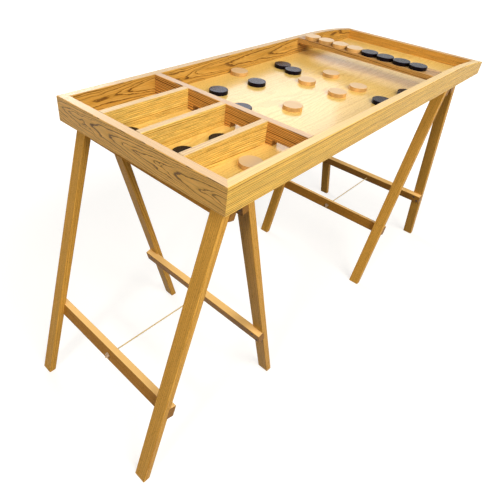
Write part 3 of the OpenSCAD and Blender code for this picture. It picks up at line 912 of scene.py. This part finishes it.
@dataclass
class Trestle:
    """A folding trestle: two leaning frames, their hinges and screws, and the cord that holds them open.

    Attributes:
        name: which trestle it is.
        hinge_x: where its hinge line crosses the tray's centre line.
        turn: how far it is turned where it stands, in degrees.
        outer_side: the side of the outer frame: 1 towards the player's end, -1 towards the pocket end.
        cord_y: how far its cord lies from its middle.
        cord_steps: the stretches from the middle of the cord's route to each end; not used.
        sizes: the sizes of its frames.
    """

    name: str
    hinge_x: float
    turn: float
    outer_side: int
    cord_y: float = 0.0
    cord_steps: int = 16
    sizes: TrestleSizes = TrestleSizes()

    def stand(self) -> Matrix:
        """Returns where the trestle stands, on the floor under its hinge line."""
        return Matrix.Translation((self.hinge_x, 0, 0)) @ Matrix.Rotation(math.radians(self.turn), 4, "Z")

    def lean(self, side: int) -> Matrix:
        """Returns a frame's own space: X out from the fold, Z up along the frame, origin at the hinge line.

        Args:
            side: 1 for the frame that leans towards the player's end, -1 for the other.
        """
        about = Matrix.Rotation(0.0 if side > 0 else math.pi, 4, "Z")
        return (self.stand() @ Matrix.Translation((0, 0, self.sizes.hinge_z)) @ about
                @ Matrix.Rotation(-math.radians(SPLAY), 4, "Y"))

    def string(self, rope: Rope, knot: Knot, fibre: Material, knot_finish: Material) -> None:
        """Strings the cord from knot to knot through both stretchers.

        Args:
            rope: the cord.
            knot: how it is knotted.
            fibre: its finish.
            knot_finish: the finish of its knots.
        """
        sizes, outer = self.sizes, self.outer_side

        def along(x: float) -> Vector:
            """Returns the point of the cord's line that lies this far towards the outer frame."""
            return self.stand() @ Vector((x * outer, self.cord_y, sizes.cord_z))

        inner_frame = f"{self.name}_inner_frame"
        for end, side, body in (("outer", outer, "trestle_bases"), ("inner", -outer, inner_frame)):
            bm = bmesh.new()
            place = Matrix.Translation(along(sizes.knot_x * side * outer)) @ self.stand().to_3x3().to_4x4()
            knot.tie(bm, rope, place @ Matrix.Rotation(0.0 if side > 0 else math.pi, 4, "Z"))
            piece = new_piece(f"{self.name}_{end}_knot", bm, knot_finish, CORD_CREASE)
            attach(piece, body)
        bm = bmesh.new()
        rope.sweep(bm, rope.line(along(sizes.knot_x), along(-sizes.knot_x)))
        cord = new_piece(f"{self.name}_rope", bm, fibre, CORD_CREASE)
        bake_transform(cord)
        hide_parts(f"{self.name}_cord")

    def screws(self, bm: Mesh, side: int) -> None:
        """Drives the screws of one frame.

        Args:
            bm: the mesh that takes them.
            side: the frame's side.
        """
        kinds = ((FRAME_SCREW, self.sizes.frame_screws()), (LEAF_SCREW, self.sizes.leaf_screws()))
        for screw, heads in kinds:
            for head in heads:
                screw.drive(bm, self.lean(side) @ Matrix.Translation(head))

    def dress(self) -> None:
        """Gives each piece of both frames its own cut of beech."""
        for k, (frame_name, side) in enumerate((("outer", self.outer_side), ("inner", -self.outer_side))):
            run = Run.DOWN_TO_PLAYER if side > 0 else Run.DOWN_TO_POCKETS
            for part, wood, cut in (
                    ("near_leg", LEG_BEECH, Cut(run, (-90, 35 + 40 * k), (0.5, 1.0), 900 * k)),
                    ("far_leg", LEG_BEECH, Cut(run, (70, 60 - 20 * k), (0.6, -0.8), 400 + 900 * k)),
                    ("bearer", BATTEN_BEECH, Cut(Run.ACROSS, (50, 60), (0.5, 1), 300 * k)),
                    ("stretcher", BATTEN_BEECH, Cut(Run.ACROSS, (-40, 90), (0.8, 0.5), 700 * k))):
                wood.dress(f"{self.name}_{frame_name}_{part}", cut)


@dataclass
class Hardware:
    """The hinges and screws of both trestles.

    Attributes:
        trestles: the trestles.
        steel_nodes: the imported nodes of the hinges.
    """

    trestles: tuple[Trestle, ...]
    steel_nodes: tuple[str, ...] = (
        "outer_hinge_leaves", "pocket_inner_hinge_leaves", "player_inner_hinge_leaves", "hinge_pins")

    def dress(self) -> None:
        """Gives the hinges their steel, and puts screws with crossed heads for the plain ones."""
        hinge, screw = HINGE_STEEL.material(), SCREW_STEEL.material()
        for node in self.steel_nodes:
            dress(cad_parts[node], hinge)
        bm = bmesh.new()
        for trestle in self.trestles:
            trestle.screws(bm, trestle.outer_side)
        self.fit("outer_screws", "trestle_bases", bm, screw)
        for trestle in self.trestles:
            bm = bmesh.new()
            trestle.screws(bm, -trestle.outer_side)
            self.fit(f"{trestle.name}_inner_screws", f"{trestle.name}_inner_frame", bm, screw)

    @staticmethod
    def fit(node: str, body: str, bm: Mesh, steel: Material) -> None:
        """Makes one set of screws a piece of its body.

        Args:
            node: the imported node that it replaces.
            body: the body that it moves with.
            bm: the screws' mesh.
            steel: their finish.
        """
        piece = new_piece(f"{node}_crossed", bm, steel)
        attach(piece, body)
        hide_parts(node)


@dataclass(frozen=True)
class Lamp:
    """A soft rectangular lamp that faces the tray.

    Attributes:
        name: the lamp's name.
        azimuth: its direction from the tray, in degrees from X towards Y.
        elevation: its height over the horizon, in degrees.
        distance: its distance from the tray, in metres.
        size: its width and height, in metres.
        power: its power in watts.
        colour: its colour, as hex.
        aim: height of the point that it faces, in metres.
    """

    name: str
    azimuth: float
    elevation: float
    distance: float
    size: tuple[float, float]
    power: float
    colour: str = "#FFF8EC"
    aim: float = 0.75

    def hang(self) -> None:
        """Hangs the lamp where the camera doesn't see it."""
        data = bpy.data.lights.new(self.name, "AREA")
        data.shape = "RECTANGLE"
        data.size, data.size_y = self.size
        data.energy = self.power
        data.color = linear(self.colour)[:3]
        lamp = bpy.data.objects.new(self.name, data)
        a, e = math.radians(self.azimuth), math.radians(self.elevation)
        away = Vector((math.cos(e) * math.cos(a), math.cos(e) * math.sin(a), math.sin(e)))
        lamp.location = Vector((0, 0, self.aim)) + away * self.distance
        lamp.rotation_euler = away.to_track_quat("Z", "Y").to_euler()
        lamp.visible_camera = False
        bpy.context.scene.collection.objects.link(lamp)


# One lamp for the near side, one for the pocket end, a window that the field mirrors, one for the far side
LAMPS = (
    Lamp("key", -103, 35, 4.0, (3.0, 2.4), 172),
    Lamp("left", -168, 34, 4.0, (0.6, 0.6), 52),
    Lamp("window", 39, 24.3, 5.0, (2.3, 1.15), 27, "#F4F7FF"),
    Lamp("far_side", 75, 12, 4.5, (2.0, 1.4), 110))


@dataclass
class Studio:
    """The camera, the floor, the surroundings and the lamps.

    Attributes:
        camera_place: where the camera stands.
        camera_turn: its turn in degrees.
        lens: its focal length in millimetres.
        shift: how far the picture is shifted, in shares of its width.
        floor_reach: how far the floor reaches from the middle.
        glow_from: how far from the middle the floor's glow begins to grow.
        glow_to: how far from the middle it is whole.
        glow: strength of the floor's own light, in the middle and far out.
        light: strength of the surroundings' light on the object.
    """

    camera_place: tuple[float, float, float] = (-1.1082, -0.6752, 1.1978)
    camera_turn: tuple[float, float, float] = (52.348, -3.777, -46.719)
    lens: float = 33.156
    shift: tuple[float, float] = (0.071, -0.0247)
    floor_reach: float = 30.0
    glow_from: float = 0.9
    glow_to: float = 2.6
    glow: tuple[float, float] = (0.66, 1.0)
    light: float = 0.16

    def camera(self) -> None:
        """Puts the camera where the photograph was taken."""
        data = bpy.data.cameras.new("camera")
        data.lens = self.lens
        data.shift_x, data.shift_y = self.shift
        camera = bpy.data.objects.new("camera", data)
        camera.location = self.camera_place
        camera.rotation_euler = [math.radians(a) for a in self.camera_turn]
        bpy.context.scene.collection.objects.link(camera)
        bpy.context.scene.camera = camera

    def floor(self) -> None:
        """Lays a floor that looks white and takes a shadow, but lights the object as a grey one would."""
        bm = bmesh.new()
        bmesh.ops.create_grid(bm, x_segments=1, y_segments=1, size=self.floor_reach)
        material, tree = new_material("white_floor")
        seen = seen_by_camera(tree)
        matt = add(tree, "ShaderNodeBsdfDiffuse", {"Color": linear("#B0B0B0")})
        spot = add(tree, "ShaderNodeTexCoord")
        away = add(tree, "ShaderNodeVectorMath", {0: spot.outputs["Object"]}, operation="LENGTH")
        white = add(tree, "ShaderNodeMapRange", {
            "Value": away.outputs["Value"], "From Min": self.glow_from, "From Max": self.glow_to,
            "To Min": self.glow[0], "To Max": self.glow[1]})
        glow = add(tree, "ShaderNodeEmission", {"Color": linear("#FFFFFF"), "Strength": white.outputs[0]})
        bright = add(tree, "ShaderNodeAddShader", {0: matt.outputs[0], 1: glow.outputs[0]})
        plain = add(tree, "ShaderNodeBsdfDiffuse", {"Color": linear("#585850")})
        mixed = add(tree, "ShaderNodeMixShader", {0: seen, 1: plain.outputs[0], 2: bright.outputs[0]})
        add(tree, "ShaderNodeOutputMaterial", {"Surface": mixed.outputs[0]})
        new_piece("floor", bm, material)

    def surroundings(self) -> None:
        """Makes the surroundings white to the camera and in reflections, and a low, even light elsewhere."""
        world = bpy.data.worlds.new("surroundings")
        world.use_nodes = True
        world.node_tree.nodes.clear()
        tree = world.node_tree
        bpy.context.scene.world = world
        seen = seen_by_camera(tree)
        light = add(tree, "ShaderNodeBackground", {"Color": linear("#FFF4E2"), "Strength": self.light})
        white = add(tree, "ShaderNodeBackground", {"Color": linear("#FFFFFF"), "Strength": 1.0})
        mixed = add(tree, "ShaderNodeMixShader", {0: seen, 1: light.outputs[0], 2: white.outputs[0]})
        add(tree, "ShaderNodeOutputWorld", {"Surface": mixed.outputs[0]})

    def build(self) -> None:
        """Lays the floor, makes the surroundings and hangs the lamps."""
        self.floor()
        self.surroundings()
        for lamp in LAMPS:
            lamp.hang()


def seen_by_camera(tree: Tree) -> Socket:
    """Tells the camera's rays, mirrored rays and those that go through a surface from the rest.

    Args:
        tree: the floor's or the world's tree.

    Returns:
        One for such a ray, else nought.
    """
    path = add(tree, "ShaderNodeLightPath")
    mirrored = add(tree, "ShaderNodeMath", {
        0: path.outputs["Is Camera Ray"], 1: path.outputs["Is Glossy Ray"]}, operation="MAXIMUM")
    return add(tree, "ShaderNodeMath", {
        0: mirrored.outputs[0], 1: path.outputs["Is Transmission Ray"]}, operation="MAXIMUM").outputs[0]


def main() -> None:
    """Builds and dresses everything, in order."""
    logging.basicConfig(level=logging.INFO, format="%(message)s")
    scene = bpy.context.scene
    scene.view_settings.view_transform = "Standard"
    studio = Studio()
    studio.camera()
    trestles = (
        Trestle("pocket", hinge_x=-526.11 * MM, turn=-1.15, outer_side=-1, cord_y=-5.0 * MM),
        Trestle("player", hinge_x=530.89 * MM, turn=0.0, outer_side=1))
    fibre, knot_finish = CORD_HEMP.material(), KNOT_HEMP.material()
    for trestle in trestles:
        trestle.string(Rope(), Knot(), fibre, knot_finish)
    Tray().dress()
    PuckSet().dress()
    for trestle in trestles:
        trestle.dress()
    Hardware(trestles).dress()
    studio.build()


if __name__ == "__main__":
    main()
